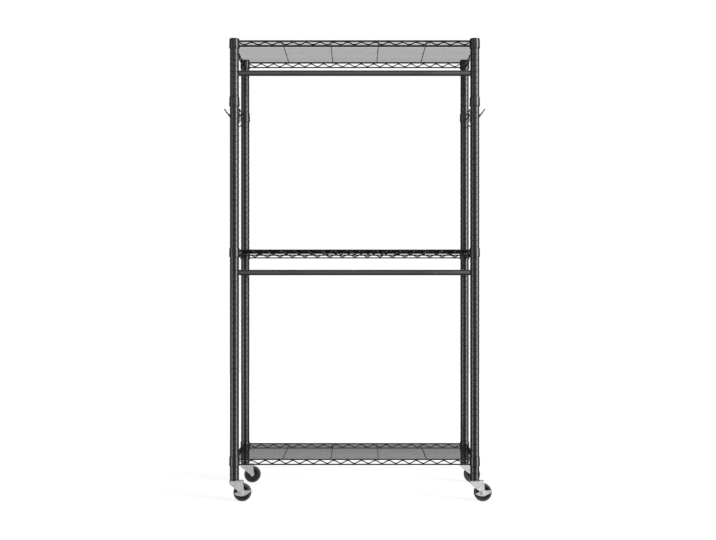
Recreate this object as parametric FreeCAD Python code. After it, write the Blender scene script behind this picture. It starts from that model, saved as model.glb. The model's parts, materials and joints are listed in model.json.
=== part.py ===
import FreeCAD
import Part
import math
import os
from FreeCAD import Vector

# Rolling garment rack: round posts, welded wire shelves, hanging rods, hook rails and swivel casters.
# Millimetres, +Z up, front at -Y. The origin is on the floor under the middle of the four posts.

# Posts: two halves each, with a ring groove every pitch that sets the possible heights
post_spacing_x = 1052.0
post_spacing_y = 410.0
post_d = 40.0
post_wall = 1.2
post_pitches = 76
groove_pitch = 25.4
first_groove = 7.3
connector_length = 60.0
cap_flange = 2.5
cap_depth = 14.0
foot_insert_h = 25.0

# Groove that the middle of each collar sits at, counted up from the lowest groove
bottom_groove = 3
middle_groove = 39
rail_groove = 65
top_groove = 75

# Tapered corner collar over a split sleeve, wider at its lower end
collar_h = 40.0
collar_wall = 1.2
sleeve_top_wall = 0.8
sleeve_bottom_wall = 1.8
sleeve_inset = 2.5
sleeve_slit = 3.0

# Trusses along the shelf edges and their wavy wire
truss_offset = 8.0
frame_wire_d = 6.0
truss_below_middle = 1.5
wire_spacing = 22.0
wave_d = 5.0
wave_half_period = 30.0

# Mat of thin lengthwise wires on cross supports
mat_wire_d = 2.3
mat_pitch_aim = 17.75
support_d = 5.0
support_bays = 5

# Hanging rods and the brackets on the outside of the side trusses
rod_d = 25.4
rod_wall = 1.2
rod_drop = 73.0
bracket_w = 30.0
bracket_t = 2.5
plug_length = 20.0
plug_pin_r = 4.0
plug_pin_out = 3.0

# Outward J hooks along each rail
hook_d = 5.0
hook_count = 5
hook_pitch = 82.0
hook_top_over = 5.0
hook_drop = 37.9
hook_arc_r = 12.75
hook_turn_deg = 147.0
hook_prong = 24.0
hook_arc_steps = 4

# Swivel casters, all trailing to +X as in the photograph
caster_trail = 35.0
wheel_r = 39.0
wheel_top_room = 9.5
tyre_w = 24.0
tyre_bevel = 3.0
tyre_depth = 9.0
tyre_side_room = 1.5
hub_side_gap = 0.3
fork_t = 2.5
fork_back = 21.0
fork_nose = 3.5
fork_heel = 13.0
fork_lobe_r = 9.0
fork_lobe_steps = 5
fork_under_post = 0.5
stem_r = 5.0
stem_up = 20.0
stem_head_r = 9.0
stem_head_h = 4.0
axle_r = 4.0
bolt_flats = 13.0
bolt_head_h = 5.0

# Brake rocker on the axle of each front caster
lever_t = 2.5
lever_gap = 0.4
lever_right = 40.0
lever_left = 33.0
lever_end_top = 5.5
lever_end_low = 0.5
lever_hump = 10.5
lever_belly = 14.5
lever_belly_steps = 6
lever_tilt_deg = 11.5
tread_reach = 8.0
tread_length = 18.0
tread_t = 2.2

# Clearances
fit_gap = 0.05
weld_gap = 0.05
cope_gap = 0.1
run_gap = 0.3

# Sides of the polygons that stand for rounds, which keep the facets of this part few
round_sides = 12
wheel_sides = 20
frame_sides = 8
bore_sides = 8
thin_sides = 4

# Derived sizes
post_x = post_spacing_x / 2
post_y = post_spacing_y / 2
post_r = post_d / 2
post_bore = post_r - post_wall
fork_inside = tyre_w + 2 * tyre_side_room
fork_front = caster_trail + fork_nose
fork_top_z = 2 * wheel_r + wheel_top_room + fork_t
post_foot_z = fork_top_z + fork_under_post
post_top_z = post_foot_z + post_pitches * groove_pitch
post_joint_z = (post_foot_z + post_top_z) / 2
collar_in_top = post_r + 2 * fit_gap + sleeve_top_wall
collar_in_bottom = post_r + 2 * fit_gap + sleeve_bottom_wall
collar_out_top = collar_in_top + collar_wall
collar_out_bottom = collar_in_bottom + collar_wall
lower_wire_up = (collar_h - wire_spacing) / 2 - truss_below_middle
truss_x = post_x + truss_offset
truss_y = post_y + truss_offset
rod_bore = rod_d / 2 - rod_wall
bracket_x = truss_x + frame_wire_d / 2
rod_half = bracket_x - weld_gap
fork_half = fork_inside / 2 + fork_t
hub_r = wheel_r - tyre_depth
hub_half = fork_inside / 2 - hub_side_gap
shaft_share = math.cos(math.pi / round_sides)

UP = Vector(0, 0, 1)
RIGHT = Vector(1, 0, 0)
BACK = Vector(0, 1, 0)
CORNERS = {
    "front_left": (-post_x, -post_y),
    "front_right": (post_x, -post_y),
    "rear_left": (-post_x, post_y),
    "rear_right": (post_x, post_y),
}
BRAKED = ("front_left", "front_right")
SHELVES = {"top": top_groove, "middle": middle_groove, "bottom": bottom_groove}

os.makedirs("parts", exist_ok=True)


def save(name, solids):
    """Write one solid, or a group of solids, as the node's STEP file."""
    shape = solids[0] if len(solids) == 1 else Part.makeCompound(solids)
    shape.exportStep("parts/" + name + ".step")


def level(groove):
    """Height of the lower end of a collar whose middle sits at this groove."""
    return post_foot_z + first_groove + groove * groove_pitch - collar_h / 2


def ring(centre, half, flat, across, sides):
    """Closed polygon, half its width across flats given, with one flat side facing the way of flat."""
    corner_r = half / math.cos(math.pi / sides)
    points = []
    for i in range(sides):
        turn = 2 * math.pi * (i + 0.5) / sides
        points.append(centre + flat * (corner_r * math.cos(turn)) + across * (corner_r * math.sin(turn)))
    return Part.makePolygon(points + [points[0]])


def stack(profile, sides=round_sides):
    """Many-sided solid about Z through (half width across flats, height) sections, lowest first."""
    rings = [ring(Vector(0, 0, z), half, RIGHT, BACK, sides) for half, z in profile]
    faces = [Part.Face(rings[0]), Part.Face(rings[-1])]
    for low, high in zip(rings, rings[1:]):
        for edge, edge_above in zip(low.Edges, high.Edges):
            a, b = [corner.Point for corner in edge.Vertexes]
            d, c = [corner.Point for corner in edge_above.Vertexes]
            faces.append(Part.Face(Part.makePolygon([a, b, c, d, a])))
    shell = Part.makeShell(faces)
    shell.sewShape()
    return Part.makeSolid(shell)


def tube(r_out, r_in, z_low, z_high):
    """Upright many-sided tube between two heights."""
    return stack([(r_out, z_low), (r_out, z_high)]).cut(stack([(r_in, z_low), (r_in, z_high)]))


def at_corners(solid, height=0.0):
    """One copy of an upright solid on each post axis, moved up by a height."""
    return [solid.translated(Vector(x, y, height)) for x, y in CORNERS.values()]


def wire_along(points, size, flat, sides):
    """Bar of polygon section swept along a mitred path; flat is the way one flat side faces."""
    along = (points[1] - points[0]).normalize()
    flat = Vector(flat).normalize()
    section = ring(points[0], size / 2, flat, along.cross(flat), sides)
    if len(points) == 2:
        return Part.Face(section).extrude(points[1] - points[0])
    return Part.makePolygon(points).makePipeShell([section], True, False, 1)


def collar():
    """Tapered ring, standing on Z = 0."""
    outside = stack([(collar_out_bottom, 0), (collar_out_top, collar_h)])
    return outside.cut(stack([(collar_in_bottom, 0), (collar_in_top, collar_h)]))


def sleeve():
    """Split sleeve that fills the taper between post and collar."""
    low = sleeve_inset
    high = collar_h - sleeve_inset
    slope = (collar_in_top - collar_in_bottom) / collar_h
    outside = stack([
        (collar_in_bottom + slope * low - fit_gap, low),
        (collar_in_bottom + slope * high - fit_gap, high),
    ])
    inside = stack([(post_r + fit_gap, low), (post_r + fit_gap, high)])
    slit = Part.makeBox(collar_out_bottom, sleeve_slit, collar_h, Vector(0, -sleeve_slit / 2, 0))
    return outside.cut([inside, slit])


def collar_plugs(height):
    """Solid tapers a little larger than the collars, which cope the wire ends."""
    taper = stack([(collar_out_bottom + cope_gap, 0), (collar_out_top + cope_gap, collar_h)])
    return Part.makeCompound(at_corners(taper, height))


def wave_rise(clear, size, half):
    """Rise of a wavy wire's centre line that makes its mitred tips just fill the clear height."""
    q = (size / half) ** 2
    root = math.sqrt(clear ** 2 - (1 - q) * (clear ** 2 - size ** 2))
    return (clear - root) / (1 - q)


def truss(place, half_span, height, plugs):
    """Two straight wires and the wavy wire between them; place maps (along, up) to a point."""
    low = height + lower_wire_up
    high = low + wire_spacing
    solids = []
    for z in (low, high):
        straight = wire_along([place(-half_span, z), place(half_span, z)], frame_wire_d, UP, frame_sides)
        solids.append(straight.cut(plugs).Solids[0])
    rise = wave_rise(wire_spacing - frame_wire_d - 2 * weld_gap, wave_d, wave_half_period)
    middle = (low + high) / 2
    steps = int((half_span - collar_out_bottom - 1.0) // wave_half_period)
    path = []
    for k in range(-steps, steps + 1):
        side = -0.5 if k % 2 == 0 else 0.5
        path.append(place(k * wave_half_period, middle + side * rise))
    normal = (path[1] - path[0]).cross(UP)
    solids.append(wire_along(path, wave_d, normal.cross(path[1] - path[0]), thin_sides))
    return solids


def mat(height, plugs):
    """Lengthwise wires level with the upper frame wires, on cross supports below them."""
    z = height + lower_wire_up + wire_spacing
    end_x = truss_x - frame_wire_d / 2 - weld_gap
    end_y = truss_y - frame_wire_d / 2 - weld_gap
    gaps = round(2 * truss_y / mat_pitch_aim)
    solids = []
    for i in range(1, gaps):
        y = -truss_y + i * 2 * truss_y / gaps
        wire = wire_along([Vector(-end_x, y, z), Vector(end_x, y, z)], mat_wire_d, UP, thin_sides)
        if post_y - abs(y) < collar_out_bottom + mat_wire_d:
            pieces = sorted(wire.cut(plugs).Solids, key=lambda piece: piece.Volume)
            wire = pieces[-1]
        solids.append(wire)
    support_z = z - mat_wire_d / 2 - support_d / 2
    for i in range(1, support_bays):
        x = -post_x + i * post_spacing_x / support_bays
        solids.append(wire_along([Vector(x, -end_y, support_z), Vector(x, end_y, support_z)], support_d, UP,
                                 thin_sides))
    return solids


def bracket(side, height):
    """Plate on the outer flank of a side truss with a tab over its upper wire; side is -1 or 1."""
    rod_z = height + lower_wire_up - rod_drop
    seat_z = height + lower_wire_up + wire_spacing + frame_wire_d / 2
    plate_h = seat_z + bracket_t - rod_z
    inner_x = truss_x - frame_wire_d / 2
    plate = Part.makeBox(bracket_t, bracket_w, plate_h, Vector(bracket_x, -bracket_w / 2, rod_z))
    tab = Part.makeBox(bracket_x - inner_x, bracket_w, bracket_t, Vector(inner_x, -bracket_w / 2, seat_z))
    pin_line = [Vector(bracket_x, 0, rod_z), Vector(bracket_x + bracket_t, 0, rod_z)]
    foot = wire_along(pin_line, bracket_w, UP, round_sides)
    hole = wire_along(pin_line, 2 * (plug_pin_r + fit_gap), UP, frame_sides)
    shape = plate.fuse([tab, foot]).cut(hole).removeSplitter()
    return shape if side > 0 else shape.mirror(Vector(0, 0, 0), RIGHT)


def rod(height):
    """Hanging tube between the brackets."""
    z = height + lower_wire_up - rod_drop
    line = [Vector(-rod_half, 0, z), Vector(rod_half, 0, z)]
    return wire_along(line, rod_d, UP, round_sides).cut(wire_along(line, 2 * rod_bore, UP, round_sides))


def rod_plug(side, height):
    """Plug inside a rod's end with the pin that passes through the bracket."""
    z = height + lower_wire_up - rod_drop
    start = Vector(rod_half - plug_length, 0, z)
    end = Vector(rod_half, 0, z)
    tip = Vector(bracket_x + bracket_t + plug_pin_out, 0, z)
    body = wire_along([start, end], 2 * (rod_bore - fit_gap), UP, round_sides)
    pin = wire_along([start, tip], 2 * plug_pin_r, UP, frame_sides)
    shape = body.fuse(pin).removeSplitter()
    return shape if side > 0 else shape.mirror(Vector(0, 0, 0), RIGHT)


def hook(side, y, height):
    """J hook welded to the outer flanks of the rail wires; side is -1 or 1."""
    lower_z = height + lower_wire_up
    leg_x = truss_x + frame_wire_d / 2 + weld_gap + hook_d / 2
    arc_z = lower_z - hook_drop + hook_arc_r
    flat = [(leg_x, lower_z + wire_spacing + hook_top_over)]
    for i in range(hook_arc_steps + 1):
        turn = math.radians(180 + hook_turn_deg * i / hook_arc_steps)
        flat.append((leg_x + hook_arc_r + hook_arc_r * math.cos(turn), arc_z + hook_arc_r * math.sin(turn)))
    last = math.radians(180 + hook_turn_deg)
    end_x, end_z = flat[-1]
    flat.append((end_x - hook_prong * math.sin(last), end_z + hook_prong * math.cos(last)))
    path = [Vector(side * x, y, z) for x, z in flat]
    return wire_along(path, hook_d, RIGHT, thin_sides)


def fork(x, y):
    """Bent plate over the wheel: one side outline, hollowed below its top plate."""
    outline = [
        Vector(-fork_back, 0, fork_top_z - fork_heel),
        Vector(-fork_back, 0, fork_top_z),
        Vector(fork_front, 0, fork_top_z),
    ]
    for i in range(fork_lobe_steps + 1):
        turn = math.pi * i / fork_lobe_steps
        lobe = Vector(fork_lobe_r * math.cos(turn), 0, -fork_lobe_r * math.sin(turn))
        outline.append(Vector(caster_trail, 0, wheel_r) + lobe)
    face = Part.Face(Part.makePolygon(outline + [outline[0]]))
    block = face.extrude(Vector(0, 2 * fork_half, 0)).translated(Vector(0, -fork_half, 0))
    room_x = fork_back + fork_front + 2 * fork_lobe_r
    room = Part.makeBox(room_x, fork_inside, fork_top_z - fork_t, Vector(-fork_back, -fork_inside / 2, 0))
    stem_hole = Part.makeCylinder(stem_r + fit_gap, fork_top_z)
    bolt_line = [Vector(caster_trail, -fork_half, wheel_r), Vector(caster_trail, fork_half, wheel_r)]
    bolt_hole = wire_along(bolt_line, 2 * (axle_r + fit_gap), UP, bore_sides)
    return block.cut([room, stem_hole, bolt_hole]).translated(Vector(x, y, 0))


def hexagon(flats, thick, y_start):
    """Hexagon head or nut on the axle line, starting at y_start and going to +Y."""
    centre = Vector(caster_trail, y_start, wheel_r)
    return wire_along([centre, centre + Vector(0, thick, 0)], flats, UP, 6)


def axle(x, y, braked):
    """Axle bolt with its head at the front and its nut at the back of the fork."""
    head_seat = fork_half + fit_gap
    if braked:
        head_seat = fork_half + 2 * lever_gap + lever_t
    head = hexagon(bolt_flats, bolt_head_h, -head_seat - bolt_head_h)
    nut = hexagon(bolt_flats, bolt_head_h, fork_half + fit_gap)
    shank_length = head_seat + fork_half + fit_gap
    shank = Part.makeCylinder(axle_r, shank_length, Vector(caster_trail, -head_seat, wheel_r), BACK)
    return head.fuse([shank, nut]).removeSplitter().translated(Vector(x, y, 0))


def on_axle(solid, x, y):
    """Lay an upright solid on the axle line of the caster at a post."""
    laid = solid.rotated(Vector(0, 0, 0), RIGHT, 90)
    return laid.translated(Vector(x + caster_trail, y, wheel_r))


def hub():
    """Wheel hub that runs on the axle bolt between the fork sides."""
    bore = stack([(axle_r + fit_gap, -hub_half), (axle_r + fit_gap, hub_half)], bore_sides)
    return stack([(hub_r, -hub_half), (hub_r, hub_half)], wheel_sides).cut(bore)


def tyre():
    """Tyre with bevelled shoulders."""
    half = tyre_w / 2
    outside = stack([
        (wheel_r - tyre_bevel, -half),
        (wheel_r, tyre_bevel - half),
        (wheel_r, half - tyre_bevel),
        (wheel_r - tyre_bevel, half),
    ], wheel_sides)
    return outside.cut(stack([(hub_r + fit_gap, -half), (hub_r + fit_gap, half)], wheel_sides))


def lever(x, y):
    """Boat-shaped brake rocker on the axle with a tread tab bent forward at each end."""
    back = -fork_half - lever_gap
    outline = [
        Vector(lever_right, back, lever_end_top),
        Vector(0, back, lever_hump),
        Vector(-lever_left, back, lever_end_top),
    ]
    for i in range(lever_belly_steps + 1):
        along = -lever_left + (lever_left + lever_right) * i / lever_belly_steps
        reach = lever_left if along < 0 else lever_right
        sag = (lever_belly - lever_end_low) * (1 - (along / reach) ** 2)
        outline.append(Vector(along, back, -lever_end_low - sag))
    plate = Part.Face(Part.makePolygon(outline + [outline[0]])).extrude(Vector(0, -lever_t, 0))
    treads = []
    for end in (lever_right, -lever_left):
        inner = end - math.copysign(tread_length, end)
        rise = (lever_hump - lever_end_top) * tread_length / abs(end)
        strip = Part.makePolygon([
            Vector(end, back, lever_end_top),
            Vector(inner, back, lever_end_top + rise),
            Vector(inner, back, lever_end_top + rise - tread_t),
            Vector(end, back, lever_end_top - tread_t),
            Vector(end, back, lever_end_top),
        ])
        treads.append(Part.Face(strip).extrude(Vector(0, -lever_t - tread_reach, 0)))
    bore_line = [Vector(0, back, 0), Vector(0, back - lever_t, 0)]
    bore = wire_along(bore_line, 2 * (axle_r + fit_gap), UP, bore_sides)
    shape = plate.fuse(treads).cut(bore).removeSplitter()
    tilted = shape.rotated(Vector(0, 0, 0), BACK, -lever_tilt_deg)
    return tilted.translated(Vector(x + caster_trail, y, wheel_r))


# Posts and what is inside them
lower = tube(post_r, post_bore, post_foot_z, post_joint_z)
upper = tube(post_r, post_bore, post_joint_z, post_top_z)
for name, (x, y) in CORNERS.items():
    save("lower_post_" + name, [lower.translated(Vector(x, y, 0))])
    save("upper_post_" + name, [upper.translated(Vector(x, y, 0))])

connector = stack([(post_bore - fit_gap, 0), (post_bore - fit_gap, connector_length)])
save("post_connectors", at_corners(connector, post_joint_z - connector_length / 2))

cap_plug = stack([(post_bore - fit_gap, -cap_depth), (post_bore - fit_gap, 0)])
cap_rim = stack([(post_r, 0), (post_r - cap_flange / 2, cap_flange)])
cap = cap_plug.fuse(cap_rim).removeSplitter()
save("post_caps", at_corners(cap, post_top_z))

insert = tube(post_bore - fit_gap, stem_r * shaft_share + fit_gap, 0, foot_insert_h)
save("foot_inserts", at_corners(insert, post_foot_z))

# Shelves
collar_solid = collar()
sleeve_solid = sleeve()
sleeves = []
for shelf, groove in SHELVES.items():
    height = level(groove)
    plugs = collar_plugs(height)
    save(shelf + "_shelf_collars", at_corners(collar_solid, height))
    sleeves += at_corners(sleeve_solid, height)
    front = truss(lambda u, z: Vector(u, -truss_y, z), post_x, height, plugs)
    rear = truss(lambda u, z: Vector(u, truss_y, z), post_x, height, plugs)
    left = truss(lambda u, z: Vector(-truss_x, u, z), post_y, height, plugs)
    right = truss(lambda u, z: Vector(truss_x, u, z), post_y, height, plugs)
    save(shelf + "_shelf_front_truss", front)
    save(shelf + "_shelf_rear_truss", rear)
    save(shelf + "_shelf_left_truss", left)
    save(shelf + "_shelf_right_truss", right)
    save(shelf + "_shelf_mat", mat(height, plugs))

# Hanging rods under the top and the middle shelf
rod_plugs = []
for rod_name, groove in (("upper", top_groove), ("lower", middle_groove)):
    height = level(groove)
    save(rod_name + "_rod", [rod(height)])
    save(rod_name + "_rod_brackets", [bracket(-1, height), bracket(1, height)])
    rod_plugs += [rod_plug(-1, height), rod_plug(1, height)]
save("rod_end_plugs", rod_plugs)

# Hook rails between the front and the rear posts
rail_z = level(rail_groove)
rail_plugs = collar_plugs(rail_z)
save("rail_collars", at_corners(collar_solid, rail_z))
sleeves += at_corners(sleeve_solid, rail_z)
for rail_name, side in (("left", -1), ("right", 1)):
    wires = []
    for z in (rail_z + lower_wire_up, rail_z + lower_wire_up + wire_spacing):
        ends = [Vector(side * truss_x, -post_y, z), Vector(side * truss_x, post_y, z)]
        wires.append(wire_along(ends, frame_wire_d, UP, frame_sides).cut(rail_plugs).Solids[0])
    save(rail_name + "_hook_rail", wires)
    first_y = -hook_pitch * (hook_count - 1) / 2
    save(rail_name + "_hooks", [hook(side, first_y + i * hook_pitch, rail_z) for i in range(hook_count)])
save("split_sleeves", sleeves)

# Casters
stem_low = fork_top_z - fork_t - run_gap
stem_half = stem_r * shaft_share
stem_head = stack([(stem_head_r, stem_low - stem_head_h), (stem_head_r, stem_low)])
stem_pin = stack([(stem_half, stem_low - stem_head_h), (stem_half, post_foot_z + stem_up)])
stem = stem_head.fuse(stem_pin).removeSplitter()
save("caster_stems", at_corners(stem))
hub_solid = hub()
tyre_solid = tyre()
for name, (x, y) in CORNERS.items():
    save("fork_" + name, [fork(x, y)])
    save("axle_" + name, [axle(x, y, name in BRAKED)])
    save("hub_" + name, [on_axle(hub_solid, x, y)])
    save("tyre_" + name, [on_axle(tyre_solid, x, y)])
    if name in BRAKED:
        save("brake_" + name, [lever(x, y)])
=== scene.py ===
# %% [markdown]
# A rolling wardrobe rack of grooved posts and welded wire
#
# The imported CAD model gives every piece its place. Its solids have flat facets for rounds and no grooves,
# so this lesson loads it and swaps them for pieces with the round wires, rolled grooves and soft edges of
# the real rack. Each piece then gets its finish.

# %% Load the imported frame
import json
import math
import bmesh
import bpy
from mathutils import Matrix, Vector

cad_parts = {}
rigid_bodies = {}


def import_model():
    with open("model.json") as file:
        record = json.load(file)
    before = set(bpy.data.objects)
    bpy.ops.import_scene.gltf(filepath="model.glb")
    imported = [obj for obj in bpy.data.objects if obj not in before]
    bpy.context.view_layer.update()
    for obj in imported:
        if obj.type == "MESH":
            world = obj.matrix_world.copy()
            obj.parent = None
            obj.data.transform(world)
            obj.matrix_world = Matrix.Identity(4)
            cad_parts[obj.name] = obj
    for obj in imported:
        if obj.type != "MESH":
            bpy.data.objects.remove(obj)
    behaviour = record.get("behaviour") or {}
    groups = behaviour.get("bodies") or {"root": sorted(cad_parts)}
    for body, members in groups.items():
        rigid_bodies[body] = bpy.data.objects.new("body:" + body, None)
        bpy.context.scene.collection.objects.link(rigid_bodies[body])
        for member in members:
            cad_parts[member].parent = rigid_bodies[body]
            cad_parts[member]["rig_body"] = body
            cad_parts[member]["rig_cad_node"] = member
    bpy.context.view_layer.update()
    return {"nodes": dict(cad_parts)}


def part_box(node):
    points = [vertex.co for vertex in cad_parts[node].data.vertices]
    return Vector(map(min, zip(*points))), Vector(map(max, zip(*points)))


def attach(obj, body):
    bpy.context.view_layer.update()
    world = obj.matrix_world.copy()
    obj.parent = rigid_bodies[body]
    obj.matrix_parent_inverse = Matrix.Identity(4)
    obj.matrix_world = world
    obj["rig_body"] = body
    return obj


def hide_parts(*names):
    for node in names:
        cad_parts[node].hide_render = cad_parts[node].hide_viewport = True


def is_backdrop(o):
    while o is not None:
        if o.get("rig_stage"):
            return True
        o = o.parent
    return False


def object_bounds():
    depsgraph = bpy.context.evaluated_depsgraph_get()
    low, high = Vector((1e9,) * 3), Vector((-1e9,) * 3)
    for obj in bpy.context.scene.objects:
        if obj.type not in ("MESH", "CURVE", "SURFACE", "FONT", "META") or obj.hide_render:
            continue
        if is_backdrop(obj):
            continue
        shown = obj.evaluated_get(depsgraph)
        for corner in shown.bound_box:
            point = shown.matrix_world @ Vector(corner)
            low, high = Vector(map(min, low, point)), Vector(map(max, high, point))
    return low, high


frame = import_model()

MM = 0.001
CORNERS = ("front_left", "front_right", "rear_left", "rear_right")
SHELVES = ("top", "middle", "bottom")

# %% [markdown]
# Finishes
#
# Six finishes cover the whole rack. Colours are written as sRGB hex values, and one function turns them
# to the linear values that a shader wants. Nodes could be dragged together in the editor. Here one small
# function adds a node, sets it up and links it, so each material reads as a short recipe.

# %% Colour and node helpers
def linear(code):
    """Linear RGBA of an sRGB hex colour."""
    channels = [int(code[i:i + 2], 16) / 255 for i in (1, 3, 5)]
    return [c / 12.92 if c <= 0.04045 else ((c + 0.055) / 1.055) ** 2.4 for c in channels] + [1.0]


def add_node(tree, kind, settings=(), links=()):
    """One node with its settings; links are (own input, other node, its output).

    The setting named stops holds the two ends of a colour ramp as (position, hex colour).
    """
    node = tree.nodes.new(kind)
    for key, value in dict(settings).items():
        if key == "stops":
            for end, (position, code) in zip(node.color_ramp.elements, value):
                end.position = position
                end.color = linear(code)
        elif hasattr(node, key):
            setattr(node, key, value)
        else:
            node.inputs[key].default_value = value
    for own, other, output in links:
        tree.links.new(other.outputs[output], node.inputs[own])
    return node


def new_material(name):
    """A material and its node tree, still empty."""
    material = bpy.data.materials.new(name)
    material.use_nodes = True
    material.node_tree.nodes.clear()
    return material, material.node_tree


def scale_for(size):
    """Noise scale for spots about a size in millimetres across."""
    return 1 / (size * MM)


# %% [markdown]
# Black powder coat
#
# The posts, collars, wires, hooks and rod brackets are steel under a baked polyester powder. It melts
# into a satin skin with a faint orange peel about two millimetres wide, and a little dust dulls it in
# soft patches. One flat black would hide the round of the wires, so a fine noise becomes bump for the
# orange peel, and a wide one varies the colour and the roughness.

# %% Powder coat material
powder, tree = new_material("black_powder_coated_steel")
place = add_node(tree, "ShaderNodeTexCoord")
patches = add_node(tree, "ShaderNodeTexNoise", {"Scale": scale_for(60), "Detail": 3.0},
                   [("Vector", place, "Object")])
peel = add_node(tree, "ShaderNodeTexNoise", {"Scale": scale_for(2.2), "Detail": 2.0},
                [("Vector", place, "Object")])
tone = add_node(tree, "ShaderNodeValToRGB", {"stops": [(0.35, "#0d0d0e"), (0.68, "#151517")]},
                [("Fac", patches, "Fac")])
gloss = add_node(tree, "ShaderNodeMapRange", {"To Min": 0.24, "To Max": 0.34}, [("Value", patches, "Fac")])
relief = add_node(tree, "ShaderNodeBump", {"Strength": 0.1, "Distance": 0.15 * MM},
                  [("Height", peel, "Fac")])
surface = add_node(tree, "ShaderNodeBsdfPrincipled", {"IOR": 1.5}, [
    ("Base Color", tone, "Color"),
    ("Roughness", gloss, "Result"),
    ("Normal", relief, "Normal"),
])
add_node(tree, "ShaderNodeOutputMaterial", links=[("Surface", surface, "BSDF")])
print("made", powder.name)

# %% [markdown]
# Metallic powder coat
#
# The hanging rods have a metallic powder instead: fine aluminium flakes in a charcoal binder, which hide
# the wear from hangers. A glossy black would show one thin streak of light. The flakes make it a dull
# dark metal, whose light fades towards the edges of the tube. Its grain is drawn a millimetre and a half
# wide so that it shows.

# %% Metallic powder material
metallic, tree = new_material("charcoal_metallic_powder_coat")
place = add_node(tree, "ShaderNodeTexCoord")
grain = add_node(tree, "ShaderNodeTexNoise", {"Scale": scale_for(1.5), "Detail": 3.0},
                 [("Vector", place, "Object")])
tone = add_node(tree, "ShaderNodeValToRGB", {"stops": [(0.3, "#5e5e60"), (0.7, "#707073")]},
                [("Fac", grain, "Fac")])
relief = add_node(tree, "ShaderNodeBump", {"Strength": 0.3, "Distance": 0.15 * MM},
                  [("Height", grain, "Fac")])
surface = add_node(tree, "ShaderNodeBsdfPrincipled", {"Metallic": 1.0, "Roughness": 0.54},
                   [("Base Color", tone, "Color"), ("Normal", relief, "Normal")])
add_node(tree, "ShaderNodeOutputMaterial", links=[("Surface", surface, "BSDF")])
print("made", metallic.name)

# %% [markdown]
# Moulded black plastic
#
# Caps, sleeves and plugs are injection-moulded polypropylene with a fine sparked texture, a shade duller
# than the powder coat. The grain of the tool is about half a millimetre wide. It is drawn at one
# millimetre so that it shows, and one noise drives colour, roughness and bump together, because on the
# real piece the same pits cause all three.

# %% Moulded plastic material
moulded, tree = new_material("moulded_black_polypropylene")
place = add_node(tree, "ShaderNodeTexCoord")
grain = add_node(tree, "ShaderNodeTexNoise", {"Scale": scale_for(1.0), "Detail": 4.0},
                 [("Vector", place, "Object")])
tone = add_node(tree, "ShaderNodeValToRGB", {"stops": [(0.0, "#1a1a1b"), (1.0, "#2a2a2c")]},
                [("Fac", grain, "Fac")])
gloss = add_node(tree, "ShaderNodeMapRange", {"To Min": 0.46, "To Max": 0.58}, [("Value", grain, "Fac")])
relief = add_node(tree, "ShaderNodeBump", {"Strength": 0.25, "Distance": 0.1 * MM},
                  [("Height", grain, "Fac")])
surface = add_node(tree, "ShaderNodeBsdfPrincipled", {"IOR": 1.49}, [
    ("Base Color", tone, "Color"),
    ("Roughness", gloss, "Result"),
    ("Normal", relief, "Normal"),
])
add_node(tree, "ShaderNodeOutputMaterial", links=[("Surface", surface, "BSDF")])
print("made", moulded.name)

# %% [markdown]
# Zinc plating
#
# Caster forks, bolts, nuts and brake rockers are pressed steel with bright zinc: a pale metal, cloudy
# where the plating crystals are a few millimetres wide, with fine scratches from the press. The scratches
# are a noise that a Mapping node draws out along X, which is simpler than drawing single lines.

# %% Zinc material
zinc, tree = new_material("bright_zinc_plated_steel")
place = add_node(tree, "ShaderNodeTexCoord")
clouds = add_node(tree, "ShaderNodeTexNoise", {"Scale": scale_for(7), "Detail": 4.0, "Roughness": 0.6},
                  [("Vector", place, "Object")])
along = add_node(tree, "ShaderNodeMapping", {"Scale": (0.08, 1.0, 1.0)}, [("Vector", place, "Object")])
scratches = add_node(tree, "ShaderNodeTexNoise", {"Scale": scale_for(0.8), "Detail": 2.0},
                     [("Vector", along, "Vector")])
tone = add_node(tree, "ShaderNodeValToRGB", {"stops": [(0.3, "#c1c2c4"), (0.7, "#e5e6e7")]},
                [("Fac", clouds, "Fac")])
gloss = add_node(tree, "ShaderNodeMapRange", {"To Min": 0.5, "To Max": 0.64}, [("Value", clouds, "Fac")])
relief = add_node(tree, "ShaderNodeBump", {"Strength": 0.1, "Distance": 0.05 * MM},
                  [("Height", scratches, "Fac")])
surface = add_node(tree, "ShaderNodeBsdfPrincipled", {"Metallic": 1.0}, [
    ("Base Color", tone, "Color"),
    ("Roughness", gloss, "Result"),
    ("Normal", relief, "Normal"),
])
add_node(tree, "ShaderNodeOutputMaterial", links=[("Surface", surface, "BSDF")])
print("made", zinc.name)

# %% [markdown]
# Tyre and hub
#
# The tyre is black polyurethane, worn matt by the floor with grey dust in fine specks. The hub is a
# glass-filled nylon moulding, smoother and darker than the tyre, near black: partly the nylon's own
# colour, partly painted shade for its recess beside the fork. The specks need a rough noise with many
# octaves, and the hub only a slow one for the flow of the melt.

# %% Tyre material
polyurethane, tree = new_material("worn_black_polyurethane")
place = add_node(tree, "ShaderNodeTexCoord")
dust = add_node(tree, "ShaderNodeTexNoise", {"Scale": scale_for(3), "Detail": 6.0, "Roughness": 0.7},
                [("Vector", place, "Object")])
tone = add_node(tree, "ShaderNodeValToRGB", {"stops": [(0.45, "#303032"), (0.75, "#58585b")]},
                [("Fac", dust, "Fac")])
relief = add_node(tree, "ShaderNodeBump", {"Strength": 0.3, "Distance": 0.2 * MM},
                  [("Height", dust, "Fac")])
surface = add_node(tree, "ShaderNodeBsdfPrincipled", {"Roughness": 0.62},
                   [("Base Color", tone, "Color"), ("Normal", relief, "Normal")])
add_node(tree, "ShaderNodeOutputMaterial", links=[("Surface", surface, "BSDF")])
print("made", polyurethane.name)

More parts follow.
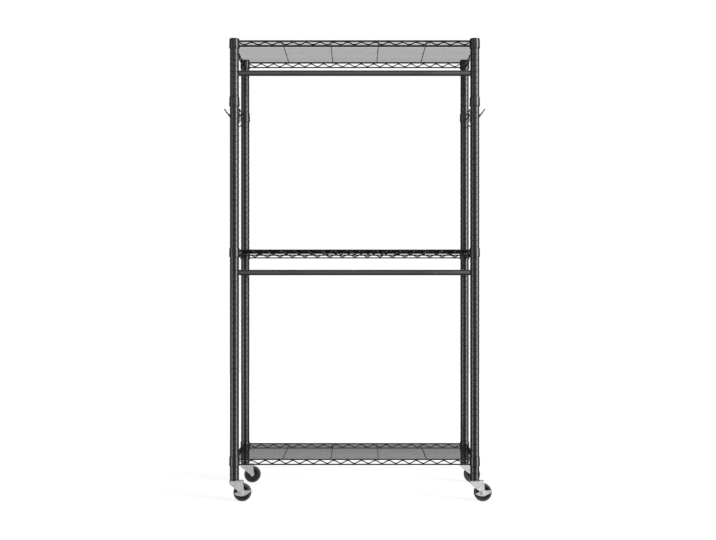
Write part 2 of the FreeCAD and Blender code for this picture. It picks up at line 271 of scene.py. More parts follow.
# %% Hub material
nylon, tree = new_material("dark_nylon_and_painted_recess_shade")
place = add_node(tree, "ShaderNodeTexCoord")
flow = add_node(tree, "ShaderNodeTexNoise", {"Scale": scale_for(9), "Detail": 3.0},
                [("Vector", place, "Object")])
# Near-black hub tone: partly the nylon's own colour, partly painted shade for the recess beside the fork.
tone = add_node(tree, "ShaderNodeValToRGB", {"stops": [(0.0, "#121213"), (1.0, "#1c1c1e")]},
                [("Fac", flow, "Fac")])
gloss = add_node(tree, "ShaderNodeMapRange", {"To Min": 0.4, "To Max": 0.52}, [("Value", flow, "Fac")])
surface = add_node(tree, "ShaderNodeBsdfPrincipled",
                   links=[("Base Color", tone, "Color"), ("Roughness", gloss, "Result")])
add_node(tree, "ShaderNodeOutputMaterial", links=[("Surface", surface, "BSDF")])
print("made", nylon.name)

# %% [markdown]
# Modelling helpers
#
# Many pieces here are round about an axis. They could be spun from a profile, but a stack of rings is
# easier to follow: a circle is added, then extruded and scaled from ring to ring as one would by hand.
# Further helpers copy and join pieces, each copy with a mesh of its own, and tie a finished piece to the
# assembly.

# %% Edit mode helpers
WELD = 0.002


def deselect():
    """Nothing selected, so that the next operator acts on the new piece alone."""
    bpy.ops.object.select_all(action="DESELECT")


def smooth(degrees):
    """Smooth shading across edges that turn by less than an angle."""
    bpy.ops.object.shade_smooth_by_angle(angle=math.radians(degrees))


def close_and_orient():
    """In edit mode: weld doubles, fill open ends, point the faces outwards, and go back to object mode."""
    bpy.ops.mesh.select_all(action="SELECT")
    bpy.ops.mesh.remove_doubles(threshold=WELD * MM)
    bpy.ops.mesh.fill_holes(sides=0)
    bpy.ops.mesh.normals_make_consistent(inside=False)
    bpy.ops.object.mode_set(mode="OBJECT")


def repeat(piece, count, step, weld=None):
    """Repeat a mesh by an Array modifier; the step and the welding distance are in millimetres."""
    array = piece.modifiers.new("repeat", "ARRAY")
    array.count = count
    array.use_relative_offset = False
    array.use_constant_offset = True
    array.constant_offset_displace = [v * MM for v in step]
    if weld:
        array.use_merge_vertices = True
        array.merge_threshold = weld * MM
    bpy.ops.object.modifier_apply(modifier=array.name)


print("doubles are welded within", WELD, "mm")

# %% Turned pieces
ROUND = 48
TURNED_CREASE = 32


def raise_rings(rings, sides):
    """A circle extruded from ring to ring, each (radius, height) in millimetres; stays in edit mode."""
    deselect()
    radius, height = rings[0]
    bpy.ops.mesh.primitive_circle_add(vertices=sides, radius=radius * MM, location=(0, 0, 0))
    bpy.ops.object.mode_set(mode="EDIT")
    bpy.ops.mesh.select_all(action="SELECT")
    bpy.ops.transform.translate(value=(0, 0, height * MM))
    for next_radius, next_height in rings[1:]:
        rise = (next_height - height) * MM
        bpy.ops.mesh.extrude_region_move(TRANSFORM_OT_translate={"value": (0, 0, rise)})
        grow = next_radius / radius
        bpy.ops.transform.resize(value=(grow, grow, 1), center_override=(0, 0, 0))
        radius, height = next_radius, next_height
    return bpy.context.object


def turned(name, rings, sides=ROUND, closed=False):
    """Turned piece about Z; closed leads the last ring back to the first, as on a tube or a tyre."""
    piece = raise_rings(rings + rings[:1] if closed else rings, sides)
    piece.name = name
    close_and_orient()
    smooth(TURNED_CREASE)
    return piece


def both_ways(upper):
    """Rings of a piece that is alike on both sides of Z = 0, from those of its upper half."""
    return [(radius, -height) for radius, height in reversed(upper)] + upper


print("turned pieces have", ROUND, "sides if nothing else is said")


# %% Copying, joining and placing
def shift(x, y, z):
    """Translation matrix, in metres."""
    return Matrix.Translation((x, y, z))


def copy_of(piece, name, matrix):
    """A copy with its own mesh, moved in its mesh; a mirrored copy is turned right side out."""
    twin = piece.copy()
    twin.data = piece.data.copy()
    twin.name = name
    twin.data.transform(matrix)
    if matrix.determinant() < 0:
        twin.data.flip_normals()
    bpy.context.scene.collection.objects.link(twin)
    return twin


def join(name, pieces):
    """Several meshes as one piece."""
    deselect()
    for piece in pieces:
        piece.select_set(True)
    bpy.context.view_layer.objects.active = pieces[0]
    bpy.ops.object.join()
    pieces[0].name = name
    return pieces[0]


def discard(piece):
    """Remove a pattern piece once its copies are made."""
    bpy.data.objects.remove(piece)


def settle(piece, material, body, slot, *nodes):
    """Finish a piece: its material, its body and the CAD nodes that it stands for; slot is not used."""
    piece.data.materials.clear()
    piece.data.materials.append(material)
    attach(piece, body)
    if nodes:
        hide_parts(*nodes)


# %% Places on the posts
def post_axis(corner):
    """Centre line of a post in X and Y, in metres."""
    low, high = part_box("lower_post_" + corner)
    return (low.x + high.x) / 2, (low.y + high.y) / 2


def at_corners(pattern, name, height=0.0):
    """One piece of four copies of a pattern, centred on the posts at a height in millimetres."""
    spots = {corner: shift(*post_axis(corner), height * MM) for corner in CORNERS}
    return join(name, [copy_of(pattern, name + "_" + corner, spot) for corner, spot in spots.items()])


post_x, post_y = [abs(v) / MM for v in post_axis("front_left")]
print("posts stand", round(2 * post_x, 1), "by", round(2 * post_y, 1), "mm apart")

# %% [markdown]
# Posts
#
# Each post is two tubes screwed end to end. Ring grooves are rolled into them every 25.4 mm, and the
# shelf sleeves snap into those. A bump texture could fake the grooves, but they show in the outline of
# the post, so one pitch of tube is modelled with its groove and an Array modifier repeats it. An inner
# tube then closes the wall.

# %% One grooved tube
PITCH = 25.4
GROOVE_AT = 7.3
GROOVE_WIDTH = 3.6
GROOVE_DEPTH = 1.1
GROOVE_FLANK = 1.08
POST_R = 20.0
RING_WELD = 0.01
groove_low = GROOVE_AT - GROOVE_WIDTH / 2
groove_high = GROOVE_AT + GROOVE_WIDTH / 2
groove_r = POST_R - GROOVE_DEPTH
low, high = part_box("lower_post_front_left")
pitches = round((high.z - low.z) / MM / PITCH)
grooved = raise_rings([
    (POST_R, 0),
    (POST_R, groove_low),
    (groove_r, groove_low + GROOVE_FLANK),
    (groove_r, groove_high - GROOVE_FLANK),
    (POST_R, groove_high),
    (POST_R, PITCH),
], ROUND)
bpy.ops.object.mode_set(mode="OBJECT")
repeat(grooved, pitches, (0, 0, PITCH), RING_WELD)
print("post of", pitches, "pitches,", len(grooved.data.polygons), "faces")

# %% Inner wall of the tube
POST_BORE = 18.8
END_BAND = 0.1


def pick(piece, test):
    """In edit mode, select the vertices that pass a test of their place."""
    mesh = bmesh.from_edit_mesh(piece.data)
    for vertex in mesh.verts:
        vertex.select = test(vertex.co)
    mesh.select_flush_mode()
    bmesh.update_edit_mesh(piece.data)


length = pitches * PITCH * MM
bpy.ops.object.mode_set(mode="EDIT")
bpy.ops.mesh.select_mode(type="VERT")
pick(grooved, lambda place: place.z > length - END_BAND * MM)
bpy.ops.mesh.extrude_region_move(TRANSFORM_OT_translate={"value": (0, 0, 0)})
inward = POST_BORE / POST_R
bpy.ops.transform.resize(value=(inward, inward, 1), center_override=(0, 0, 0))
bpy.ops.mesh.extrude_region_move(TRANSFORM_OT_translate={"value": (0, 0, -length)})
pick(grooved, lambda place: place.z < END_BAND * MM)
bpy.ops.mesh.bridge_edge_loops()
bpy.ops.mesh.select_all(action="SELECT")
bpy.ops.mesh.normals_make_consistent(inside=False)
bpy.ops.object.mode_set(mode="OBJECT")
smooth(TURNED_CREASE)
print("tube wall", round(POST_R - POST_BORE, 1), "mm")

# %% Copies at the four corners
for corner in CORNERS:
    x, y = post_axis(corner)
    for half in ("lower", "upper"):
        node = half + "_post_" + corner
        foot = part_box(node)[0].z
        post = copy_of(grooved, "grooved_" + node, shift(x, y, foot))
        settle(post, powder, "rack", "black_powder_coat", node)
discard(grooved)
print("eight post halves placed")

# %% [markdown]
# Post caps
#
# A moulded cap closes the top of each post. It has a spigot in the tube, a rounded rim and a slightly
# dished middle. A bevelled cylinder would miss the dish, so it is a stack of rings like the posts.

# %% Caps
CAP_R = 20.0
CAP_CROWN = 2.5
SPIGOT_R = 18.7
SPIGOT = 14.0
cap_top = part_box("post_caps")[1].z / MM
cap = turned("cap", [
    (SPIGOT_R, -SPIGOT),
    (SPIGOT_R, 0),
    (CAP_R - 0.1, 0),
    (CAP_R, 0.4),
    (CAP_R - 0.1, 1.5),
    (CAP_R - 0.7, 2.2),
    (CAP_R - 1.7, CAP_CROWN),
    (CAP_R - 3.5, 2.4),
    (CAP_R - 5.5, 1.9),
    (4.0, 1.7),
])
caps = at_corners(cap, "moulded_post_caps", cap_top - CAP_CROWN)
settle(caps, moulded, "rack", "black_plastic", "post_caps")
discard(cap)
print("post caps on top of the posts at", round(cap_top, 1), "mm")

# %% [markdown]
# Corner collars
#
# The shelves and the hook rails slide onto split sleeves by tapered pressed-steel collars, wider at the
# lower end. The real ones have rolled edges. A Bevel modifier would round the inner and outer edges
# alike, so the small rounds are rings of the outline.

# %% Collars
COLLAR_H = 40.0
collar = turned("collar", [
    (21.9, 0.2),
    (22.4, 0.0),
    (22.9, 0.15),
    (23.08, 0.7),
    (22.98, 5.0),
    (22.2, COLLAR_H - 5.0),
    (22.08, COLLAR_H - 0.7),
    (21.8, COLLAR_H - 0.1),
    (21.4, COLLAR_H),
    (20.95, COLLAR_H - 0.2),
], closed=True)
collar_nodes = {shelf: shelf + "_shelf_collars" for shelf in SHELVES}
collar_nodes["rail"] = "rail_collars"
levels = {name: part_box(node)[0].z / MM for name, node in collar_nodes.items()}
for name, node in collar_nodes.items():
    collars = at_corners(collar, "rolled_" + node, levels[name])
    settle(collars, powder, "rack", "black_powder_coat", node)
discard(collar)
print("collar levels in mm:", {name: round(level, 1) for name, level in levels.items()})

# %% [markdown]
# Shelf trusses
#
# Each edge of a shelf is a small truss: two straight wires 22 mm apart and a wavy wire welded between
# them. The straight wires are cylinders joined to the wave. The wave could be a zigzag of short
# cylinders, but the real wire is bent in soft curves. So one wave is a Bezier curve with level handles
# and a round section, turned to a mesh and repeated by an Array modifier.

# %% Straight wires
FRAME_WIRE = 6.0
FRAME_SIDES = 16
WIRE_CREASE = 40


def straight_wire(start, end, diameter, sides=FRAME_SIDES):
    """Round wire along X or Y between two points in millimetres."""
    deselect()
    start, end = Vector(start) * MM, Vector(end) * MM
    run = end - start
    turn = (0, math.pi / 2, 0) if abs(run.x) > abs(run.y) else (math.pi / 2, 0, 0)
    bpy.ops.mesh.primitive_cylinder_add(vertices=sides, radius=diameter / 2 * MM, depth=run.length,
                                        location=(start + end) / 2, rotation=turn)
    bpy.ops.object.transform_apply(location=True, rotation=True, scale=True)
    smooth(WIRE_CREASE)
    return bpy.context.object


print("frame wires of", FRAME_WIRE, "mm")

# %% Wavy wire
WIRE_SPACING = 22.0
WAVE = 5.0
WAVE_PERIOD = 60.0
WAVE_SINK = 0.3
WAVE_RISE = WIRE_SPACING - FRAME_WIRE - WAVE + 2 * WAVE_SINK
WAVE_WELD = 0.02
WAVE_CREASE = 60
HANDLE = 0.19 * WAVE_PERIOD
CURVE_STEPS = 8
CURVE_ROUND = 2
HIGH, LOW = 1, -1


def wavy_wire(periods, ends, half_length):
    """Wavy wire along X, centred on the origin, with HIGH or LOW ends and cut at a half length."""
    deselect()
    bpy.ops.curve.primitive_bezier_curve_add(location=(0, 0, 0))
    wave = bpy.context.object
    line = wave.data.splines[0]
    line.bezier_points.add(1)
    for i, point in enumerate(line.bezier_points):
        x = (i - periods) * WAVE_PERIOD / 2
        z = WAVE_RISE / 2 * (-ends if i == 1 else ends)
        point.handle_left_type = point.handle_right_type = "FREE"
        point.co = Vector((x, 0, z)) * MM
        point.handle_left = Vector((x - HANDLE, 0, z)) * MM
        point.handle_right = Vector((x + HANDLE, 0, z)) * MM
    wave.data.resolution_u = CURVE_STEPS
    wave.data.bevel_depth = WAVE / 2 * MM
    wave.data.bevel_resolution = CURVE_ROUND
    bpy.ops.object.convert(target="MESH")
    wave = bpy.context.object
    repeat(wave, periods, (WAVE_PERIOD, 0, 0), WAVE_WELD)
    bpy.ops.object.mode_set(mode="EDIT")
    for side in (-1, 1):
        cut = (side * half_length * MM, 0, 0)
        bpy.ops.mesh.select_all(action="SELECT")
        bpy.ops.mesh.bisect(plane_co=cut, plane_no=(side, 0, 0), clear_outer=True)
    close_and_orient()
    smooth(WAVE_CREASE)
    return wave


print("waves", round(WAVE_RISE, 1), "mm high, every", WAVE_PERIOD, "mm")

# %% Long and side trusses
# Wires end inside the collar wall, this far from the centre line of the post
WIRE_END = 20.4
LOWER_WIRE = 7.5
LONG_WAVES = 17
SIDE_WAVES = 6
truss_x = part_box("top_shelf_right_truss")[1].x / MM - FRAME_WIRE / 2
truss_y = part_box("top_shelf_rear_truss")[1].y / MM - FRAME_WIRE / 2
long_end = post_x - WIRE_END
side_end = post_y - WIRE_END


def truss(half_length, waves, ends):
    """Truss along X, centred on the origin, with its lower wire on Z = 0."""
    wires = []
    for z in (0, WIRE_SPACING):
        wires.append(straight_wire((-half_length, 0, z), (half_length, 0, z), FRAME_WIRE))
    wave = wavy_wire(waves, ends, half_length)
    wave.data.transform(shift(0, 0, WIRE_SPACING / 2 * MM))
    return join("truss", wires + [wave])


long_pattern = truss(long_end, LONG_WAVES, HIGH)
side_pattern = truss(side_end, SIDE_WAVES, LOW)
side_pattern.data.transform(Matrix.Rotation(math.pi / 2, 4, "Z"))
spots = {
    "front": (long_pattern, 0, -truss_y),
    "rear": (long_pattern, 0, truss_y),
    "left": (side_pattern, -truss_x, 0),
    "right": (side_pattern, truss_x, 0),
}
print("truss faces:", len(long_pattern.data.polygons), "long,", len(side_pattern.data.polygons), "side")

# %% Trusses of the three shelves
for shelf in SHELVES:
    wire_z = levels[shelf] + LOWER_WIRE
    for edge, (pattern, x, y) in spots.items():
        node = shelf + "_shelf_" + edge + "_truss"
        piece = copy_of(pattern, "welded_" + node, shift(x * MM, y * MM, wire_z * MM))
        settle(piece, powder, "rack", "black_powder_coat", node)
discard(long_pattern)
discard(side_pattern)
print("four trusses on each of", len(SHELVES), "shelves")

# %% [markdown]
# Shelf mats
#
# Thin wires run the length of each shelf, level with the upper frame wires, on four cross supports that
# lie just below them. A striped sheet with see-through gaps would look flat from the side, so every wire
# is there. One is repeated by an Array modifier, and with ten sides it stays light. The outermost two
# stop at the collars.

# %% Mat wires
MAT_WIRE = 2.4
MAT_SIDES = 10
MAT_PITCH = 17.75
# The outermost two wires end inside the collar wall too
EDGE_WIRE_END = 19.0
WELD_SINK = 1.0
gaps = round(2 * truss_y / MAT_PITCH)
mat_pitch = 2 * truss_y / gaps
inner_x = truss_x - FRAME_WIRE / 2 + WELD_SINK
edge_x = post_x - EDGE_WIRE_END
edge_y = truss_y - mat_pitch
first_y = mat_pitch - edge_y
mat_wires = straight_wire((-inner_x, first_y, 0), (inner_x, first_y, 0), MAT_WIRE, MAT_SIDES)
repeat(mat_wires, gaps - 3, (0, mat_pitch, 0))
mat_pieces = [mat_wires]
for y in (-edge_y, edge_y):
    mat_pieces.append(straight_wire((-edge_x, y, 0), (edge_x, y, 0), MAT_WIRE, MAT_SIDES))
print("mat pitch", round(mat_pitch, 2), "mm,", gaps - 1, "wires")

# %% Cross supports and the three mats
SUPPORT = 4.0
SUPPORTS = 4
SUPPORT_SIDES = 12
SUPPORT_SINK = 0.3
inner_y = truss_y - FRAME_WIRE / 2 + WELD_SINK
support_z = SUPPORT_SINK - MAT_WIRE / 2 - SUPPORT / 2
bay = 2 * post_x / (SUPPORTS + 1)
for i in range(SUPPORTS):
    x = (i + 1) * bay - post_x
    support = straight_wire((x, -inner_y, support_z), (x, inner_y, support_z), SUPPORT, SUPPORT_SIDES)
    mat_pieces.append(support)
mat_pattern = join("mat", mat_pieces)
for shelf in SHELVES:
    mat_z = levels[shelf] + LOWER_WIRE + WIRE_SPACING
    mat = copy_of(mat_pattern, "welded_" + shelf + "_shelf_mat", shift(0, 0, mat_z * MM))
    settle(mat, powder, "rack", "black_powder_coat", shelf + "_shelf_mat")
discard(mat_pattern)
print("supports every", round(bay, 1), "mm")

# %% [markdown]
# Hook rails
#
# A rail of two wires joins the front and rear post on each side, and J hooks of thinner wire are welded
# to its outer face. A hook could be a swept circle of mesh rings, but a curve with a round section is
# quicker to shape. It runs through a straight leg, an arc and a sloping prong, and gets a small ball at
# each end.

# %% Rail wires
rail_z = levels["rail"] + LOWER_WIRE
rail_top = rail_z + WIRE_SPACING
for side, x in (("left", -truss_x), ("right", truss_x)):
    wires = [straight_wire((x, -side_end, z), (x, side_end, z), FRAME_WIRE) for z in (rail_z, rail_top)]
    rail = join("welded_" + side + "_hook_rail", wires)
    settle(rail, powder, "rack", "black_powder_coat", side + "_hook_rail")
print("hook rails at", round(rail_z, 1), "mm")

# %% Line of a hook
HOOK = 5.0
HOOK_SINK = 0.2
HOOK_RISE = 3.5
HOOK_DROP = 37.9
HOOK_ARC = 12.75
HOOK_TURN = 147
HOOK_STEPS = 16
PRONG = 22.0
leg_x = truss_x + FRAME_WIRE / 2 + HOOK / 2 - HOOK_SINK
arc_x = leg_x + HOOK_ARC
arc_z = rail_z - HOOK_DROP + HOOK_ARC
line = [(leg_x, rail_top + HOOK_RISE), (leg_x, rail_z)]
for i in range(HOOK_STEPS + 1):
    turn = math.radians(180 + HOOK_TURN * i / HOOK_STEPS)
    line.append((arc_x + HOOK_ARC * math.cos(turn), arc_z + HOOK_ARC * math.sin(turn)))
last_turn = math.radians(180 + HOOK_TURN)
bend_x, bend_z = line[-1]
line.append((bend_x - PRONG * math.sin(last_turn), bend_z + PRONG * math.cos(last_turn)))
print("hook leg at", round(leg_x, 1), "mm, tip at", [round(v, 1) for v in line[-1]])

# %% One hook
TIP_SEGMENTS = 12
TIP_RINGS = 8
deselect()
bpy.ops.curve.primitive_nurbs_path_add(location=(0, 0, 0))
hook = bpy.context.object
hook.data.splines.clear()
path = hook.data.splines.new("POLY")
path.points.add(len(line) - 1)
for point, (x, z) in zip(path.points, line):
    point.co = (x * MM, 0, z * MM, 1)
hook.data.bevel_depth = HOOK / 2 * MM
hook.data.bevel_resolution = CURVE_ROUND
bpy.ops.object.convert(target="MESH")
hook = bpy.context.object
bpy.ops.object.mode_set(mode="EDIT")
close_and_orient()
hook_pieces = [hook]
for x, z in (line[0], line[-1]):
    deselect()
    bpy.ops.mesh.primitive_uv_sphere_add(segments=TIP_SEGMENTS, ring_count=TIP_RINGS, radius=HOOK / 2 * MM,
                                         location=(x * MM, 0, z * MM))
    bpy.ops.object.transform_apply(location=True, rotation=True, scale=True)
    hook_pieces.append(bpy.context.object)
hook = join("hook", hook_pieces)
bpy.ops.object.shade_smooth()
print("hook of", len(hook.data.polygons), "faces")

# %% Copies along both rails
HOOKS = 5
HOOK_PITCH = 82.0
first_hook = -(HOOKS - 1) / 2 * HOOK_PITCH
for side, sign in (("left", -1), ("right", 1)):
    row = []
    for i in range(HOOKS):
        spot = shift(0, (first_hook + i * HOOK_PITCH) * MM, 0) @ Matrix.Diagonal((sign, 1, 1, 1))
        row.append(copy_of(hook, side + "_hook_" + str(i + 1), spot))
    settle(join("bent_" + side + "_hooks", row), powder, "rack", "black_powder_coat", side + "_hooks")
discard(hook)
print(HOOKS, "hooks a side, every", HOOK_PITCH, "mm")

# %% [markdown]
# Hanging rods
#
# Each rod is a plain tube with softly turned ends between two brackets that lie on the outside of the
# side trusses. The rod is a stack of rings again. The brackets and the caster pieces already have their
# shape in the CAD model, and modelling them a second time would gain nothing. So a copy of the node is
# welded, its edges are softened with a Bevel modifier, and it takes the node's place.

# %% Rods
ROD_WALL = 1.2
ROD_EDGE = 0.5
RODS = ("upper", "lower")
rod_z = {}
for name in RODS:
    low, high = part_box(name + "_rod")
    half = (high.x - low.x) / 2 / MM
    radius = (high.z - low.z) / 2 / MM
    rod_z[name] = (low.z + high.z) / 2
    rings = [(radius, half - ROD_EDGE), (radius - ROD_EDGE, half), (radius - ROD_WALL, half)]
    rod = turned("rolled_" + name + "_rod", both_ways(rings), closed=True)
    rod.data.transform(shift(0, 0, rod_z[name]) @ Matrix.Rotation(math.pi / 2, 4, "Y"))
    settle(rod, metallic, "rack", "black_powder_coat", name + "_rod")
print("rods made,", round(half * 2, 1), "mm long")

# %% Softened copies of CAD nodes
NODE_WELD = 0.005
FLAT_ANGLE = 1
EDGE_ANGLE = 30
PRESSED_CREASE = 50


def softened(node, name, edge, segments=2):
    """A welded copy of a CAD node with rounded edges; edge is the round in millimetres."""
    deselect()
    piece = copy_of(frame["nodes"][node], name, Matrix.Identity(4))
    # The copy is a piece of its own, so it drops the marks of a CAD node
    piece.parent = None
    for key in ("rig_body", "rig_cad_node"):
        del piece[key]
    piece.select_set(True)
    bpy.context.view_layer.objects.active = piece
    bpy.ops.object.mode_set(mode="EDIT")
    bpy.ops.mesh.select_all(action="SELECT")
    bpy.ops.mesh.remove_doubles(threshold=NODE_WELD * MM)
    bpy.ops.mesh.dissolve_limited(angle_limit=math.radians(FLAT_ANGLE))
    bpy.ops.object.mode_set(mode="OBJECT")
    bevel = piece.modifiers.new("edges", "BEVEL")
    bevel.width = edge * MM
    bevel.segments = segments
    bevel.limit_method = "ANGLE"
    bevel.angle_limit = math.radians(EDGE_ANGLE)
    bpy.ops.object.modifier_apply(modifier=bevel.name)
    smooth(PRESSED_CREASE)
    flat = piece.modifiers.new("flat faces", "WEIGHTED_NORMAL")
    flat.keep_sharp = True
    bpy.ops.object.modifier_apply(modifier=flat.name)
    return piece


print("edges over", EDGE_ANGLE, "degrees are rounded")

# %% Rod brackets
BRACKET_EDGE = 0.5
for name in RODS:
    node = name + "_rod_brackets"
    bracket = softened(node, "pressed_" + node, BRACKET_EDGE)
    settle(bracket, powder, "rack", "black_powder_coat", node)
print("brackets with edges of", BRACKET_EDGE, "mm")

# %% [markdown]
# Domed nuts
#
# The pin of each rod plug comes through its bracket and takes a domed nut. The thread inside never shows,
# so a six-sided stack of rings with a round crown on it is enough.

# %% Nuts
NUT_R = 7.2
NUT_SIDES = 6
DOME_R = 5.6
DOME_SIDES = 24
nut_rings = [(NUT_R - 0.6, 0), (NUT_R, 0.4), (NUT_R, 3.2), (NUT_R - 0.8, 3.8)]
dome_rings = [(DOME_R, 3.4), (DOME_R - 0.2, 4.6), (DOME_R - 1.2, 5.8), (DOME_R - 2.8, 6.5), (1.0, 6.8)]
nut = join("domed_nut", [turned("nut", nut_rings, NUT_SIDES), turned("dome", dome_rings, DOME_SIDES)])
nut.data.transform(Matrix.Rotation(math.pi / 2, 4, "Y"))
plate_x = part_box("upper_rod_brackets")[1].x
nuts = []
for name in RODS:
    for side, sign in (("left", -1), ("right", 1)):
        spot = shift(sign * plate_x, 0, rod_z[name]) @ Matrix.Diagonal((sign, 1, 1, 1))
        nuts.append(copy_of(nut, name + "_" + side + "_nut", spot))
discard(nut)
settle(join("domed_bracket_nuts", nuts), zinc, "rack", "zinc_plated_steel")
print("bracket nuts at", round(plate_x / MM, 1), "mm")

# %% [markdown]
# Casters
#
# Tyre and hub are turned about their axle. The tyre has rounded shoulders. The hub has a rim, a thin web
# and a boss that fills the fork. Both are alike on their two sides, so only the rings of one side are
# written. Fork, axle bolt and brake rocker are softened copies of their CAD nodes.

# %% Wheels
WHEEL_SIDES = 64
TYRE_R = 39.0
TYRE_HALF = 12.0
HUB_R = 29.95
HUB_WEB = 5.4
HUB_BOSS = 13.2
AXLE_BORE = 4.05
tyre_rings = [
    (TYRE_R, TYRE_HALF - 6.0),
    (TYRE_R - 0.3, TYRE_HALF - 3.2),
    (TYRE_R - 1.0, TYRE_HALF - 1.4),
    (TYRE_R - 2.4, TYRE_HALF - 0.3),
    (TYRE_R - 4.5, TYRE_HALF),
    (TYRE_R - 7.7, TYRE_HALF - 0.3),
    (TYRE_R - 9.0, TYRE_HALF - 2.6),
]
hub_rings = [
    (HUB_R, 9.4),
    (28.8, 11.2),
    (26.4, 10.9),
    (25.6, HUB_WEB + 1.0),
    (23.9, HUB_WEB),
    (13.0, HUB_WEB),
    (10.8, HUB_WEB + 1.0),
    (9.8, HUB_BOSS - 0.4),
    (9.0, HUB_BOSS),
    (AXLE_BORE, HUB_BOSS),
]
tyre_pattern = turned("tyre", both_ways(tyre_rings), WHEEL_SIDES, closed=True)
hub_pattern = turned("hub", both_ways(hub_rings), WHEEL_SIDES, closed=True)
for corner in CORNERS:
    low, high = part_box("tyre_" + corner)
    spot = Matrix.Translation((low + high) / 2) @ Matrix.Rotation(math.pi / 2, 4, "X")
    tyre = copy_of(tyre_pattern, "rounded_tyre_" + corner, spot)
    settle(tyre, polyurethane, "wheel_" + corner, "tyre_rubber", "tyre_" + corner)
    hub = copy_of(hub_pattern, "webbed_hub_" + corner, spot)
    settle(hub, nylon, "wheel_" + corner, "hub_plastic", "hub_" + corner)
discard(tyre_pattern)
discard(hub_pattern)
print("wheels of", 2 * TYRE_R, "mm")

# %% Forks, axles and brake rockers
FORK_EDGE = 0.9
AXLE_EDGE = 0.5
ROCKER_EDGE = 0.6
FRONT_CORNERS = CORNERS[:2]
for corner in CORNERS:
    fork = softened("fork_" + corner, "pressed_fork_" + corner, FORK_EDGE, segments=3)
    settle(fork, zinc, "swivel_" + corner, "zinc_plated_steel", "fork_" + corner)
    axle = softened("axle_" + corner, "plated_axle_" + corner, AXLE_EDGE)
    settle(axle, zinc, "swivel_" + corner, "zinc_plated_steel", "axle_" + corner)
for corner in FRONT_CORNERS:
    rocker = softened("brake_" + corner, "pressed_brake_" + corner, ROCKER_EDGE)
    settle(rocker, zinc, "rocker_" + corner, "zinc_plated_steel", "brake_" + corner)
print("caster metalwork softened")

# %% [markdown]
# Inner pieces
#
# The rounds of the CAD model are polygons. Connectors and foot inserts are turned again here, so that
# none of their corners comes through the grooves. Sleeves, stems and rod plugs hardly show, so their
# nodes stay and only take their finishes.

# %% Connectors and foot inserts
PLUG_R = 18.7
PLUG_CHAMFER = 0.4
PLUG_LEAD = 0.6
PLUG_SIDES = 32
STEM_BORE = 5.05


def plug_rings(node):
    """Rings of a plug with chamfered ends, as tall as its CAD node."""
    low, high = [corner.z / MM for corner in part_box(node)]
    end_r = PLUG_R - PLUG_CHAMFER
    return [(end_r, low), (PLUG_R, low + PLUG_LEAD), (PLUG_R, high - PLUG_LEAD), (end_r, high)]


connector = turned("connector", plug_rings("post_connectors"), PLUG_SIDES)
connectors = at_corners(connector, "turned_post_connectors")
settle(connectors, zinc, "rack", "zinc_plated_steel", "post_connectors")
rings = plug_rings("foot_inserts")
bored = [(STEM_BORE, rings[0][1])] + rings + [(STEM_BORE, rings[-1][1])]
insert = turned("insert", bored, PLUG_SIDES, closed=True)
inserts = at_corners(insert, "turned_foot_inserts")
settle(inserts, moulded, "rack", "black_plastic", "foot_inserts")
discard(connector)
discard(insert)
print("turned connectors and foot inserts")

# %% Finishes of the CAD nodes that stay
stays = {
    "split_sleeves": moulded,
    "rod_end_plugs": moulded,
    "caster_stems": zinc,
}
for node, material in stays.items():
    kept = frame["nodes"][node]
    kept.data.materials.clear()
    kept.data.materials.append(material)
print("CAD nodes kept:", sorted(stays))

# %% [markdown]
# Studio
#
# The photograph is a white cut-out shot from the front with a long lens, so the camera sees a white
# world. A white room all round would also wash out the black posts, so reflections see a dimmer one,
# darkest overhead, underfoot and behind the rack. Light Path tells the two apart.

# %% World
ROOM_LEVEL = 0.5
ROOM_STEEP = 0.06
ROOM_BEHIND = 0.35
world = bpy.data.worlds.new("white_studio")
bpy.context.scene.world = world
world.use_nodes = True
tree = world.node_tree
tree.nodes.clear()
ray = add_node(tree, "ShaderNodeLightPath")
way = add_node(tree, "ShaderNodeTexCoord")
split = add_node(tree, "ShaderNodeSeparateXYZ", links=[("Vector", way, "Generated")])
steep = add_node(tree, "ShaderNodeMath", {"operation": "ABSOLUTE"}, [(0, split, "Z")])
level = add_node(tree, "ShaderNodeMapRange", {"From Max": 0.6, "To Min": ROOM_LEVEL, "To Max": ROOM_STEEP},
                 [("Value", steep, "Value")])
behind = add_node(tree, "ShaderNodeMapRange",
                  {"From Min": -0.2, "From Max": 0.7, "To Min": 1.0, "To Max": ROOM_BEHIND},
                  [("Value", split, "Y")])
room = add_node(tree, "ShaderNodeMath", {"operation": "MULTIPLY"},
                [(0, level, "Result"), (1, behind, "Result")])
seen = add_node(tree, "ShaderNodeMath", {"operation": "MAXIMUM"},
                [(0, room, "Value"), (1, ray, "Is Camera Ray")])
sky = add_node(tree, "ShaderNodeBackground", {"Color": (1, 1, 1, 1)}, [("Strength", seen, "Value")])
add_node(tree, "ShaderNodeOutputWorld", links=[("Surface", sky, "Background")])
print("made", world.name)
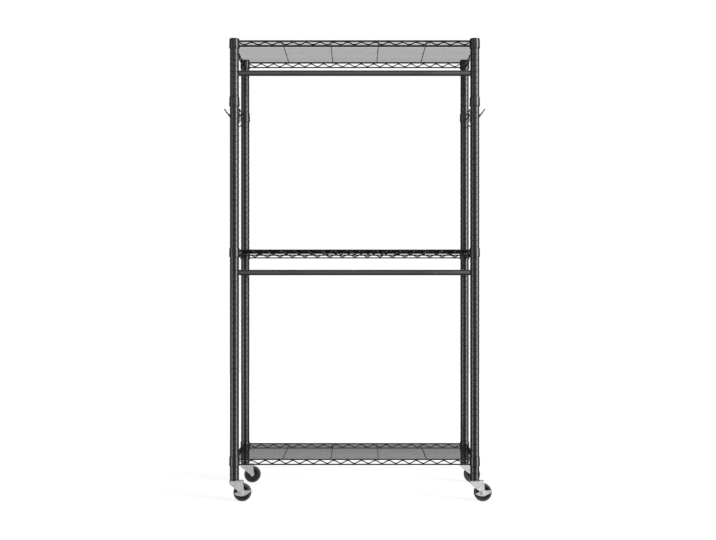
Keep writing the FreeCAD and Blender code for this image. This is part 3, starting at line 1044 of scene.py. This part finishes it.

# %% [markdown]
# Floor
#
# A sheet of white paper lies under the casters. Only the camera sees it, so it neither hides the low
# lamps nor lights the rack from below. Its own glow, painted light that is weaker near the rack and
# full further out, brings it almost to white. The lamps add the rest, which leaves a faint shadow at
# the casters, and further out the glow fades it into the white world.

# %% Paper floor
PAPER_SIZE = 12.0
PAPER_NEAR = 1.0
PAPER_FAR = 2.5
PAPER_GLOW = 0.85
paper, tree = new_material("white_studio_paper")
place = add_node(tree, "ShaderNodeTexCoord")
away = add_node(tree, "ShaderNodeVectorMath", {"operation": "LENGTH"}, [(0, place, "Object")])
# Painted glow of the paper: weaker near the rack, full white further out.
glow = add_node(tree, "ShaderNodeMapRange",
                {"From Min": PAPER_NEAR, "From Max": PAPER_FAR, "To Min": PAPER_GLOW, "To Max": 1.0},
                [("Value", away, "Value")])
surface = add_node(tree, "ShaderNodeBsdfPrincipled", {
    "Base Color": linear("#8f8f8f"),
    "Emission Color": linear("#ffffff"),
    "Roughness": 1.0,
    "Specular IOR Level": 0.0,
}, [("Emission Strength", glow, "Result")])
add_node(tree, "ShaderNodeOutputMaterial", links=[("Surface", surface, "BSDF")])
deselect()
bpy.ops.mesh.primitive_plane_add(size=PAPER_SIZE, location=(0, 0, 0))
floor = bpy.context.object
floor.name = "paper_floor"
floor.data.materials.append(paper)
floor.visible_diffuse = False
floor.visible_glossy = False
floor.visible_shadow = False
floor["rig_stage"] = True
print("floor", PAPER_SIZE, "m wide")

# %% [markdown]
# Lamps
#
# Tall soft boxes on both sides draw the bright bands down each post. Small lamps would give hard streaks,
# and a plain bright world no bands at all. The box straight behind lights the back, and from the front it
# only grazes the outlines. The camera sees none of them.

# %% Soft boxes
def soft_box(name, spot, aim, width, height, power):
    """Rectangular area lamp at a spot, turned to a point; metres and watts."""
    lamp = bpy.data.lights.new(name, "AREA")
    lamp.shape = "RECTANGLE"
    lamp.size = width
    lamp.size_y = height
    lamp.energy = power
    box = bpy.data.objects.new(name, lamp)
    box.visible_camera = False
    box.location = spot
    box.rotation_euler = (Vector(aim) - Vector(spot)).to_track_quat("-Z", "Y").to_euler()
    bpy.context.scene.collection.objects.link(box)


soft_box("right_high", (5.55, -3.4, 3.1), (0, 0, 1.2), 3.0, 4.4, 580)
soft_box("right_low", (5.55, -3.4, -0.75), (0, 0, 1.0), 3.0, 3.3, 250)
soft_box("left_high", (-5.45, -3.55, 2.2), (0, 0, 1.2), 2.4, 2.8, 60)
soft_box("left_low", (-5.45, -3.55, -0.4), (0, 0, 1.0), 2.4, 2.4, 127)
soft_box("front_high", (0, -5.5, 3.6), (0, 0, 1.0), 4.0, 1.2, 25)
soft_box("overhead", (0, 0, 5.2), (0, 0, 0), 5.0, 4.0, 12)
soft_box("rear", (0, 6.0, 4.0), (0, 0, 1.0), 2.4, 2.4, 110)
print(len(bpy.data.lights), "soft boxes")

# %% [markdown]
# Camera
#
# The camera stands level in front of the rack, a little right of its middle. The horizon of the
# photograph lies below the middle of the frame. Tilting the camera would make the posts lean, so the lens
# is shifted instead.

# %% Front camera
FRAME_WIDTH = 716
FRAME_HEIGHT = 540
FOCAL_PIXELS = 979.8
HORIZON_ROW = 284.95
SENSOR = 36.0
CAMERA_X = 0.0150
CAMERA_Z = 0.9458
CAMERA_FROM_POSTS = 4.290
camera = bpy.data.cameras.new("front_camera")
camera.sensor_width = SENSOR
camera.lens = FOCAL_PIXELS / FRAME_WIDTH * SENSOR
camera.shift_y = (HORIZON_ROW - FRAME_HEIGHT / 2) / FRAME_WIDTH
viewer = bpy.data.objects.new("front_camera", camera)
viewer.location = (CAMERA_X, -post_y * MM - CAMERA_FROM_POSTS, CAMERA_Z)
viewer.rotation_euler = (math.pi / 2, 0, 0)
bpy.context.scene.collection.objects.link(viewer)
bpy.context.scene.camera = viewer
bpy.context.scene.view_settings.view_transform = "Standard"
print("lens", round(camera.lens, 1), "mm")

# %% [markdown]
#
# The box of the finished pieces is printed, in millimetres.

low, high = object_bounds()
print("visual box in mm:", [round(v / MM, 1) for v in (high - low)])
